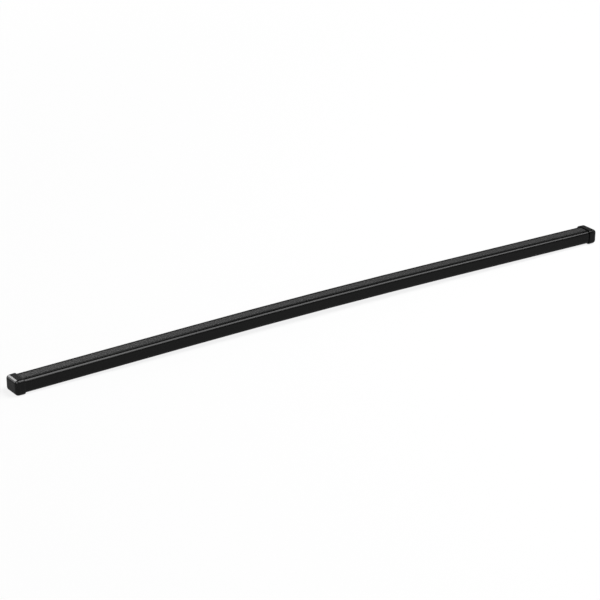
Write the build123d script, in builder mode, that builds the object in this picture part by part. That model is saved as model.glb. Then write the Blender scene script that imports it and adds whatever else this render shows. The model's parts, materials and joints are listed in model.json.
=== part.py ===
# Roof rack crossbar: an arched steel tube with a rubber grip strip along its top and a cap on each end.
# X runs along the bar, Z is up, and the bar stands on its two caps at Z = 0. Millimetres and degrees.
from build123d import *
from build123d.topology import SkipClean

import os
from math import cos, radians, sin

# Bar
overall_length = 1120.0  # over both caps, along the bar
bar_width = 32.0
bar_height = 22.0
corner_radius = 5.7
tube_wall = 2.0
arch_length = 488.0  # bowed stretch in the middle, with a straight stretch on each side
end_slope = 0.82  # fall of each straight stretch

# Grip strip and the groove rolled for it
strip_width = 13.8
strip_rise = 0.2  # height above the bar
strip_edge = 0.4  # radius along its edges
strip_gap = 0.1  # beside and under the strip
groove_depth = 1.3
groove_bend = 0.4
outer_bends = 4  # rounded at the floor and the mouth of the groove
inner_bends = 2  # inside the tube, at the floor alone

# End caps
cap_length = 15.5  # from the rim to the outer end
cap_wall = 1.65  # how far the rim stands out from the bar
cap_draft = 1.6
cap_edge_radius = 5.7
rim_lead = 1.6  # chamfer round the rim, along the outside of the cap
rim_chamfer = 0.55  # and across the rim
sleeve_depth = 11.0  # how far the tube goes into the cap
sleeve_gap = 0.1
end_wall = 2.4
rim_clear = 0.5  # the bearing faces of the bar end this far short of the rims

# Plug inside the tube
plug_length = 24.0  # from the shoulder that the end of the tube meets
plug_gap = 0.8
plug_wall = 1.8
plug_lead = 1.0  # chamfer round the tip
rib_width = 1.4
rib_gap = 0.1  # between a crush rib and the bore
rib_setback = 3.0  # from the tip of the plug to the ribs
ribs_across = 3  # on the top and on the bottom
ribs_up = 2  # on each side

# Sizes that follow from these
groove_width = strip_width + 2 * strip_gap
strip_thickness = strip_rise + groove_depth - strip_gap
cap_width = bar_width + 2 * cap_wall
cap_height = bar_height + 2 * cap_wall
plug_width = bar_width - 2 * tube_wall - 2 * plug_gap
plug_height = bar_height - 2 * tube_wall - groove_depth - 2 * plug_gap
plug_drop = groove_depth / 2  # the plug passes under the groove
plug_radius = corner_radius - tube_wall - plug_gap
rib_pitch_across = (plug_width - 2 * plug_radius) / ribs_across  # the ribs stand on the flats of the plug
rib_pitch_up = (plug_height - 2 * plug_radius) / ribs_up
rib_rise = plug_gap - rib_gap
bar_length = overall_length - 2 * (cap_length - sleeve_depth)
straight_length = (bar_length - arch_length) / 2
rim_distance = straight_length - sleeve_depth  # from the arch to a rim
slope = radians(end_slope)
arch_radius = arch_length / 2 / slope

# The bar stands on the outer edges of the rim chamfers
draft = radians(cap_draft)
foot_drop = cap_height / 2 - rim_lead * sin(draft)
foot_distance = rim_distance + rim_lead * cos(draft)
foot_fall = arch_radius * (1 - cos(slope)) + foot_distance * sin(slope)
crown_height = foot_fall + foot_drop * cos(slope)  # middle of the section at mid span


def straight_point(distance, side):
    # Middle of the section on a straight stretch, at a distance from the arch
    along = arch_radius * sin(slope) + distance * cos(slope)
    fall = arch_radius * (1 - cos(slope)) + distance * sin(slope)
    return Vector(side * along, 0, crown_height - fall)


def bar_outline(inset, bends):
    # Section of the bar with its groove, moved in all round. Bends are rounded from the floor up.
    with BuildSketch() as outline:
        RectangleRounded(
            bar_width - 2 * inset,
            bar_height - 2 * inset,
            max(corner_radius - inset, groove_bend),
        )
        with Locations((0, bar_height / 2 - inset)):
            Rectangle(groove_width + 2 * inset, 2 * groove_depth, mode=Mode.SUBTRACT)
        groove_floor = (0, bar_height / 2 - inset - groove_depth)
        corners = outline.vertices().sort_by_distance(groove_floor)
        fillet(corners[:bends], groove_bend)
    return outline.sketch


# Middle line of the bar in the open, between the caps
bearing_length = rim_distance - rim_clear
with BuildLine() as bar_path:
    Line(straight_point(bearing_length, -1), straight_point(0, -1))
    ThreePointArc(straight_point(0, -1), (0, 0, crown_height), straight_point(0, 1))
    Line(straight_point(0, 1), straight_point(bearing_length, 1))

section_plane = Plane(
    origin=straight_point(bearing_length, -1), x_dir=(0, 1, 0), z_dir=(cos(slope), 0, sin(slope))
)
covered_length = straight_length - bearing_length  # of each end, in its cap

# Rolled tube, whose wall dips under the strip. Its ends stay unmerged, so the bearing faces stop at the rims.
with BuildPart() as bar_tube:
    with BuildSketch(section_plane):
        add(bar_outline(0, outer_bends))
        add(bar_outline(tube_wall, inner_bends), mode=Mode.SUBTRACT)
    sweep(path=bar_path.line)
    tube_ends = bar_tube.faces().sort_by(Axis.X)
    with SkipClean():
        extrude(tube_ends[0], amount=covered_length)
        extrude(tube_ends[-1], amount=covered_length)
bar_tube.part.label = "bar_tube"

# Rubber strip in the groove, held down at its ends by the caps
with BuildPart() as grip_strip:
    with BuildSketch(section_plane):
        with Locations((0, bar_height / 2 + strip_rise - strip_thickness / 2)):
            RectangleRounded(strip_width, strip_thickness, strip_edge)
    sweep(path=bar_path.line)
    strip_ends = grip_strip.faces().sort_by(Axis.X)
    with SkipClean():
        extrude(strip_ends[0], amount=covered_length)
        extrude(strip_ends[-1], amount=covered_length)
grip_strip.part.label = "grip_strip"

# Cap moulding, with its rim on the XY plane, its outer end towards +Z and the bar's top towards +Y
with BuildPart() as cap_moulding:
    with BuildSketch():
        Rectangle(cap_width, cap_height)
    extrude(amount=cap_length, taper=cap_draft)
    rim = cap_moulding.faces().sort_by(Axis.Z)[0]
    fillet(cap_moulding.edges() - rim.edges(), cap_edge_radius)
    rim = cap_moulding.faces().sort_by(Axis.Z)[0]
    chamfer(rim.edges(), rim_chamfer, rim_lead, reference=rim)

    # Sleeve over the tube and the strip, down to the shoulder
    with BuildSketch():
        RectangleRounded(bar_width + 2 * sleeve_gap, bar_height + 2 * sleeve_gap, corner_radius + sleeve_gap)
        with Locations((0, bar_height / 2)):
            Rectangle(strip_width + 2 * sleeve_gap, 2 * (strip_rise + sleeve_gap))
    extrude(amount=sleeve_depth, mode=Mode.SUBTRACT)

    # Plug with its lead-in and crush ribs, then the core that leaves its walls
    shoulder = Plane.XY.offset(sleeve_depth)
    with BuildSketch(shoulder):
        with Locations((0, -plug_drop)):
            RectangleRounded(plug_width, plug_height, plug_radius)
    extrude(amount=-plug_length)
    plug_tip = cap_moulding.faces().sort_by(Axis.Z)[0]
    chamfer(plug_tip.edges(), plug_lead)
    with BuildSketch(shoulder):
        with Locations((0, -plug_drop)):
            with GridLocations(rib_pitch_across, 0, ribs_across, 1):
                Rectangle(rib_width, plug_height + 2 * rib_rise)
            with GridLocations(0, rib_pitch_up, 1, ribs_up):
                Rectangle(plug_width + 2 * rib_rise, rib_width)
    extrude(amount=rib_setback - plug_length)
    with BuildSketch(Plane.XY.offset(cap_length - end_wall)):
        with Locations((0, -plug_drop)):
            Rectangle(plug_width - 2 * plug_wall, plug_height - 2 * plug_wall)
    extrude(amount=sleeve_depth - plug_length - cap_length + end_wall, mode=Mode.SUBTRACT)

# The same moulding on both ends, turned round
left_rim = Plane(
    origin=straight_point(rim_distance, -1), x_dir=(0, -1, 0), z_dir=(-cos(slope), 0, -sin(slope))
)
with BuildPart(left_rim) as end_cap_left:
    add(cap_moulding.part)
end_cap_left.part.label = "end_cap_left"

right_rim = Plane(
    origin=straight_point(rim_distance, 1), x_dir=(0, 1, 0), z_dir=(cos(slope), 0, -sin(slope))
)
with BuildPart(right_rim) as end_cap_right:
    add(cap_moulding.part)
end_cap_right.part.label = "end_cap_right"

os.makedirs("parts", exist_ok=True)
export_step(bar_tube.part, "parts/bar_tube.step")
export_step(grip_strip.part, "parts/grip_strip.step")
export_step(end_cap_left.part, "parts/end_cap_left.step")
export_step(end_cap_right.part, "parts/end_cap_right.step")
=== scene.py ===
import json
from math import cos, radians, sin

import bmesh
import bpy
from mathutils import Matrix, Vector

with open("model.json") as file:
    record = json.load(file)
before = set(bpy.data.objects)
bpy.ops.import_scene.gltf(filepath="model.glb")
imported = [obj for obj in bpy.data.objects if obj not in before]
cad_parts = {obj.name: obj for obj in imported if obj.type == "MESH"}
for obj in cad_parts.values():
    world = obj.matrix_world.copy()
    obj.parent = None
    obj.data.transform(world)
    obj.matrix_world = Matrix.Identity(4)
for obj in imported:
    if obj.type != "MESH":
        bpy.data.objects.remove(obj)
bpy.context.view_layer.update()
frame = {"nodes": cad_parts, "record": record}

scene = bpy.context.scene
scene.view_settings.view_transform = "Standard"
mm = 0.001  # in metres
white = "#ffffff"  # of the floor and of what is behind it
print("frame loaded:", ", ".join(sorted(frame["nodes"])))


def linear(hexCode):  # sRGB hex to the linear colour that a socket takes
    channels = [int(hexCode[i:i + 2], 16) / 255 for i in (1, 3, 5)]
    return [c / 12.92 if c <= 0.04045 else ((c + 0.055) / 1.055) ** 2.4 for c in channels] + [1.0]


# A socket takes a value, or another node's output as a link.
# It goes by its name, or by its number where names repeat.
def addNode(tree, kind, sockets, **settings):
    node = tree.nodes.new(kind)
    for name, value in settings.items():
        setattr(node, name, value)
    for name, value in sockets.items():
        if isinstance(value, bpy.types.NodeSocket):
            tree.links.new(value, node.inputs[name])
        else:
            node.inputs[name].default_value = value
    return node


def newMaterial(name):
    material = bpy.data.materials.new(name)
    material.use_nodes = True
    material.node_tree.nodes.clear()
    return material, material.node_tree


def perMetre(size):  # texture scale for a pattern of this size in millimetres
    return 1 / (size * mm)


# Polyethylene coat over a steel tube, drawn on warm: near black, with a satin skin and a faint orange peel
coat = {
    "dark": "#040404",
    "pale": "#090909",
    "specular": 0.0,  # all of the mirror is in the skin
    "gloss": (0.22, 0.28),  # share of the skin that is smooth enough to mirror
    "roughness": 0.2,
    "peel": 2.4,  # mm between the swells of the orange peel
    "peelDetail": 2.0,  # octaves finer than the swells
    "peelFade": 0.4,  # strength that each octave keeps
    "peelHeight": 0.007,  # mm
    "grain": 0.35,  # mm, drawn coarser than the real grain so that it shows
    "grainDetail": 3.0,
    "grainFade": 0.6,
    "grainHeight": 0.002,  # mm
}


def coatedSteel():
    material, tree = newMaterial("black polyethylene coat on steel tube, drawn on")
    place = addNode(tree, "ShaderNodeTexCoord", {}).outputs["Object"]
    peel = addNode(tree, "ShaderNodeTexNoise", {
        "Vector": place, "Scale": perMetre(coat["peel"]), "Detail": coat["peelDetail"],
        "Roughness": coat["peelFade"]})
    grain = addNode(tree, "ShaderNodeTexNoise", {
        "Vector": place, "Scale": perMetre(coat["grain"]), "Detail": coat["grainDetail"],
        "Roughness": coat["grainFade"]})
    tint = addNode(tree, "ShaderNodeMix", {
        0: peel.outputs["Fac"], 6: linear(coat["dark"]), 7: linear(coat["pale"])}, data_type="RGBA")
    gloss = addNode(tree, "ShaderNodeMapRange", {
        "Value": grain.outputs["Fac"], "To Min": coat["gloss"][0], "To Max": coat["gloss"][1]})
    swell = addNode(tree, "ShaderNodeBump", {
        "Height": peel.outputs["Fac"], "Distance": coat["peelHeight"] * mm})
    bump = addNode(tree, "ShaderNodeBump", {
        "Height": grain.outputs["Fac"], "Distance": coat["grainHeight"] * mm,
        "Normal": swell.outputs["Normal"]})
    shader = addNode(tree, "ShaderNodeBsdfPrincipled", {
        "Base Color": tint.outputs[2], "Normal": bump.outputs["Normal"],
        "Specular IOR Level": coat["specular"],
        "Coat Weight": gloss.outputs["Result"], "Coat Roughness": coat["roughness"],
        "Coat Normal": bump.outputs["Normal"]})
    addNode(tree, "ShaderNodeOutputMaterial", {"Surface": shader.outputs["BSDF"]})
    return material


# Solid EPDM rubber, extruded: matt charcoal, with die lines along its length and a dry grain
rubber = {
    "dark": "#242424",
    "pale": "#3b3b3b",
    "specular": 0.065,
    "roughness": (0.72, 0.84),
    "lineGap": 0.6,  # mm between die lines
    "lineRun": 60.0,  # mm that a die line keeps its depth
    "lineDetail": 2.0,  # octaves finer than the lines
    "lineHeight": 0.02,  # mm
    "grain": 0.5,  # mm, drawn coarser than the real grain so that it shows
    "grainDetail": 3.0,
    "grainFade": 0.65,  # strength that each octave keeps
    "grainHeight": 0.03,  # mm
}


def stripRubber():
    material, tree = newMaterial("EPDM rubber, extruded")
    place = addNode(tree, "ShaderNodeTexCoord", {}).outputs["Object"]
    stretch = addNode(tree, "ShaderNodeMapping", {
        "Vector": place, "Scale": (rubber["lineGap"] / rubber["lineRun"], 1.0, 1.0)})
    lines = addNode(tree, "ShaderNodeTexNoise", {
        "Vector": stretch.outputs["Vector"], "Scale": perMetre(rubber["lineGap"]),
        "Detail": rubber["lineDetail"]})
    grain = addNode(tree, "ShaderNodeTexNoise", {
        "Vector": place, "Scale": perMetre(rubber["grain"]), "Detail": rubber["grainDetail"],
        "Roughness": rubber["grainFade"]})
    tint = addNode(tree, "ShaderNodeMix", {
        0: grain.outputs["Fac"], 6: linear(rubber["dark"]), 7: linear(rubber["pale"])}, data_type="RGBA")
    matt = addNode(tree, "ShaderNodeMapRange", {
        "Value": lines.outputs["Fac"], "To Min": rubber["roughness"][0], "To Max": rubber["roughness"][1]})
    drawn = addNode(tree, "ShaderNodeBump", {
        "Height": lines.outputs["Fac"], "Distance": rubber["lineHeight"] * mm})
    bump = addNode(tree, "ShaderNodeBump", {
        "Height": grain.outputs["Fac"], "Distance": rubber["grainHeight"] * mm,
        "Normal": drawn.outputs["Normal"]})
    shader = addNode(tree, "ShaderNodeBsdfPrincipled", {
        "Base Color": tint.outputs[2], "Roughness": matt.outputs["Result"],
        "Normal": bump.outputs["Normal"], "Specular IOR Level": rubber["specular"]})
    addNode(tree, "ShaderNodeOutputMaterial", {"Surface": shader.outputs["BSDF"]})
    return material


# Polypropylene, moulded in a spark-eroded tool: black, satin, with an even fine texture
cap = {
    "dark": "#050505",
    "pale": "#0a0a0a",
    "specular": 0.0,  # all of the mirror is in the skin
    "gloss": (0.2, 0.33),  # share of the skin that is smooth enough to mirror
    "roughness": 0.2,
    "spark": 0.4,  # mm, drawn coarser than the real texture so that it shows
    "sparkDetail": 4.0,  # octaves finer than the pits
    "sparkFade": 0.6,  # strength that each octave keeps
    "sparkSpan": (0.3, 0.7),  # part of the noise over which the gloss changes
    "sparkHeight": 0.003,  # mm
}


def capPlastic():
    material, tree = newMaterial("black polypropylene, moulded in a spark-eroded tool")
    place = addNode(tree, "ShaderNodeTexCoord", {}).outputs["Object"]
    spark = addNode(tree, "ShaderNodeTexNoise", {
        "Vector": place, "Scale": perMetre(cap["spark"]), "Detail": cap["sparkDetail"],
        "Roughness": cap["sparkFade"]})
    tint = addNode(tree, "ShaderNodeMix", {
        0: spark.outputs["Fac"], 6: linear(cap["dark"]), 7: linear(cap["pale"])}, data_type="RGBA")
    gloss = addNode(tree, "ShaderNodeMapRange", {
        "Value": spark.outputs["Fac"],
        "From Min": cap["sparkSpan"][0], "From Max": cap["sparkSpan"][1],
        "To Min": cap["gloss"][0], "To Max": cap["gloss"][1]})
    bump = addNode(tree, "ShaderNodeBump", {
        "Height": spark.outputs["Fac"], "Distance": cap["sparkHeight"] * mm})
    shader = addNode(tree, "ShaderNodeBsdfPrincipled", {
        "Base Color": tint.outputs[2], "Normal": bump.outputs["Normal"],
        "Specular IOR Level": cap["specular"],
        "Coat Weight": gloss.outputs["Result"], "Coat Roughness": cap["roughness"],
        "Coat Normal": bump.outputs["Normal"]})
    addNode(tree, "ShaderNodeOutputMaterial", {"Surface": shader.outputs["BSDF"]})
    return material


finishes = {"coated_steel": coatedSteel(), "strip_rubber": stripRubber(), "cap_plastic": capPlastic()}
for row in frame["record"]["subparts"]:
    for slot in frame["nodes"][row["node"]].material_slots:
        slot.material = finishes[row["material_slot"]]
print("finishes:", ", ".join(m.name for m in finishes.values()))


# Pale paper floor, white to the camera and to reflections, which keeps its shadow
floor = {
    "radius": 30.0,  # metres
    "segments": 96,
    "paper": "#f4f4f4",
    "glow": (0.86, 1.0),  # share of plain white in what the camera and reflections see, near and far
    "reach": (0.9, 2.2),  # metres from the middle, where the share starts and stops growing
}


def paperFloor():
    mesh = bmesh.new()
    bmesh.ops.create_circle(mesh, cap_ends=True, radius=floor["radius"], segments=floor["segments"])
    data = bpy.data.meshes.new("floor")
    mesh.to_mesh(data)
    mesh.free()
    ground = bpy.data.objects.new("floor", data)
    scene.collection.objects.link(ground)
    material, tree = newMaterial("matt white paper")
    rays = addNode(tree, "ShaderNodeLightPath", {})
    sharp = addNode(tree, "ShaderNodeMath", {
        0: rays.outputs["Is Camera Ray"], 1: rays.outputs["Is Glossy Ray"]}, operation="MAXIMUM")
    seen = addNode(tree, "ShaderNodeMath", {
        0: sharp.outputs[0], 1: rays.outputs["Is Transmission Ray"]}, operation="MAXIMUM")
    place = addNode(tree, "ShaderNodeTexCoord", {})
    reach = addNode(tree, "ShaderNodeVectorMath", {0: place.outputs["Object"]}, operation="LENGTH")
    glow = addNode(tree, "ShaderNodeMapRange", {
        "Value": reach.outputs["Value"], "From Min": floor["reach"][0], "From Max": floor["reach"][1],
        "To Min": floor["glow"][0], "To Max": floor["glow"][1]})
    share = addNode(tree, "ShaderNodeMath", {
        0: seen.outputs[0], 1: glow.outputs["Result"]}, operation="MULTIPLY")
    paper = addNode(tree, "ShaderNodeBsdfDiffuse", {"Color": linear(floor["paper"])})
    shine = addNode(tree, "ShaderNodeEmission", {"Color": linear(white), "Strength": 1.0})
    mix = addNode(tree, "ShaderNodeMixShader", {
        0: share.outputs[0], 1: paper.outputs["BSDF"], 2: shine.outputs["Emission"]})
    addNode(tree, "ShaderNodeOutputMaterial", {"Surface": mix.outputs["Shader"]})
    data.materials.append(material)


paperFloor()
print("floor laid")

# Soft studio light: places, aims and sides in metres, power in watts
keyScrim = {"place": (3.2, -1.6, 5.95), "aim": (0.0, 0.0, 0.0), "sides": (4.3, 4.7), "power": 585.0}

# White cards, which show in reflections and put no light on the floor
leftEnd = (-0.56, 0.0, 0.02)
cards = {
    # along the upper front edge of the bar
    "keyCard": {"place": (3.1, -1.55, 5.77), "aim": (0.0, 0.0, 0.0), "sides": (4.17, 4.56), "power": 155.0},
    "frontCard": {"place": (0.3, -0.95, 1.78), "aim": (0.3, 0.0, 0.02), "sides": (0.7, 1.9), "power": 21.8},
    "farCard": {"place": (2.4, -0.7, 2.28), "aim": (2.4, 0.0, 0.02), "sides": (0.9, 1.3), "power": 7.7},
    # round the upper edges of the left cap
    "rimCard": {"place": (-0.75, 2.05, 1.34), "aim": leftEnd, "sides": (1.4, 0.8), "power": 92.0},
    "lowCard": {"place": (-1.9, 2.0, 0.75), "aim": leftEnd, "sides": (1.1, 0.9), "power": 21.8},
    "topCard": {"place": (-1.5, 0.0, 2.0), "aim": leftEnd, "sides": (1.3, 1.3), "power": 46.0},
    "sideCard": {"place": (-1.9, -0.8, 1.68), "aim": leftEnd, "sides": (1.3, 1.9), "power": 69.0},
    # on top of the left cap
    "backCard": {"place": (0.5, 2.1, 1.05), "aim": (-0.5, 0.0, 0.02), "sides": (1.0, 0.9), "power": 1.55},
}

# Grey surroundings, pale up to a low angle and dark overhead
dome = {
    "low": 0.52,  # radiance, up to the low angle
    "high": 0.05,  # and from the high angle up
    "lowAngle": 26.0,  # degrees above the horizon
    "highAngle": 34.0,
    "white": (8.0, 12.0),  # degrees over which the white behind the floor ends in reflections
}


def hangLamp(name, lamp, spill):
    data = bpy.data.lights.new(name, "AREA")
    data.shape = "RECTANGLE"
    data.size, data.size_y = lamp["sides"]
    data.energy = lamp["power"]
    light = bpy.data.objects.new(name, data)
    light.location = lamp["place"]
    light.visible_diffuse = spill
    light.visible_camera = False
    beam = Vector(lamp["aim"]) - Vector(lamp["place"])
    light.rotation_euler = beam.to_track_quat("-Z", "Y").to_euler()
    scene.collection.objects.link(light)


def domeLight():
    world = bpy.data.worlds.new("studio")
    world.use_nodes = True
    tree = world.node_tree
    tree.nodes.clear()
    place = addNode(tree, "ShaderNodeTexCoord", {})
    height = addNode(tree, "ShaderNodeSeparateXYZ", {"Vector": place.outputs["Generated"]})
    level = addNode(tree, "ShaderNodeMapRange", {
        "Value": height.outputs["Z"], "From Min": sin(radians(dome["lowAngle"])),
        "From Max": sin(radians(dome["highAngle"])), "To Min": dome["low"], "To Max": dome["high"]})
    horizon = addNode(tree, "ShaderNodeMapRange", {
        "Value": height.outputs["Z"], "From Min": sin(radians(dome["white"][0])),
        "From Max": sin(radians(dome["white"][1])), "To Min": 1.0, "To Max": 0.0})
    rays = addNode(tree, "ShaderNodeLightPath", {})
    mirrored = addNode(tree, "ShaderNodeMath", {
        0: rays.outputs["Is Glossy Ray"], 1: rays.outputs["Is Transmission Ray"]}, operation="MAXIMUM")
    low = addNode(tree, "ShaderNodeMath", {
        0: mirrored.outputs[0], 1: horizon.outputs["Result"]}, operation="MULTIPLY")
    sharp = addNode(tree, "ShaderNodeMath", {
        0: rays.outputs["Is Camera Ray"], 1: low.outputs[0]}, operation="MAXIMUM")
    shown = addNode(tree, "ShaderNodeMath", {
        0: level.outputs["Result"], 1: sharp.outputs[0]}, operation="MAXIMUM")
    back = addNode(tree, "ShaderNodeBackground", {"Color": linear(white), "Strength": shown.outputs[0]})
    addNode(tree, "ShaderNodeOutputWorld", {"Surface": back.outputs["Background"]})
    scene.world = world


hangLamp("keyScrim", keyScrim, spill=True)
for name, card in cards.items():
    hangLamp(name, card, spill=False)
domeLight()
print("light hung: keyScrim,", ", ".join(cards))

# Camera in front, to the left and above, with a long lens
camera = {
    "aim": (-0.03062, 0.02094, 0.0188),
    "left": 34.299,  # degrees round from straight in front
    "above": 22.457,  # degrees over the floor
    "distance": 3.6971,  # metres
    "lens": 138.98,  # mm
    "sensor": 36.0,  # mm, square
}


def setCamera():
    left, above = radians(camera["left"]), radians(camera["above"])
    back = Vector((-sin(left) * cos(above), -cos(left) * cos(above), sin(above)))
    data = bpy.data.cameras.new("camera")
    data.sensor_width = camera["sensor"]
    data.lens = camera["lens"]
    view = bpy.data.objects.new("camera", data)
    view.location = Vector(camera["aim"]) + back * camera["distance"]
    view.rotation_euler = back.to_track_quat("Z", "Y").to_euler()
    scene.collection.objects.link(view)
    scene.camera = view


setCamera()
print("camera set")
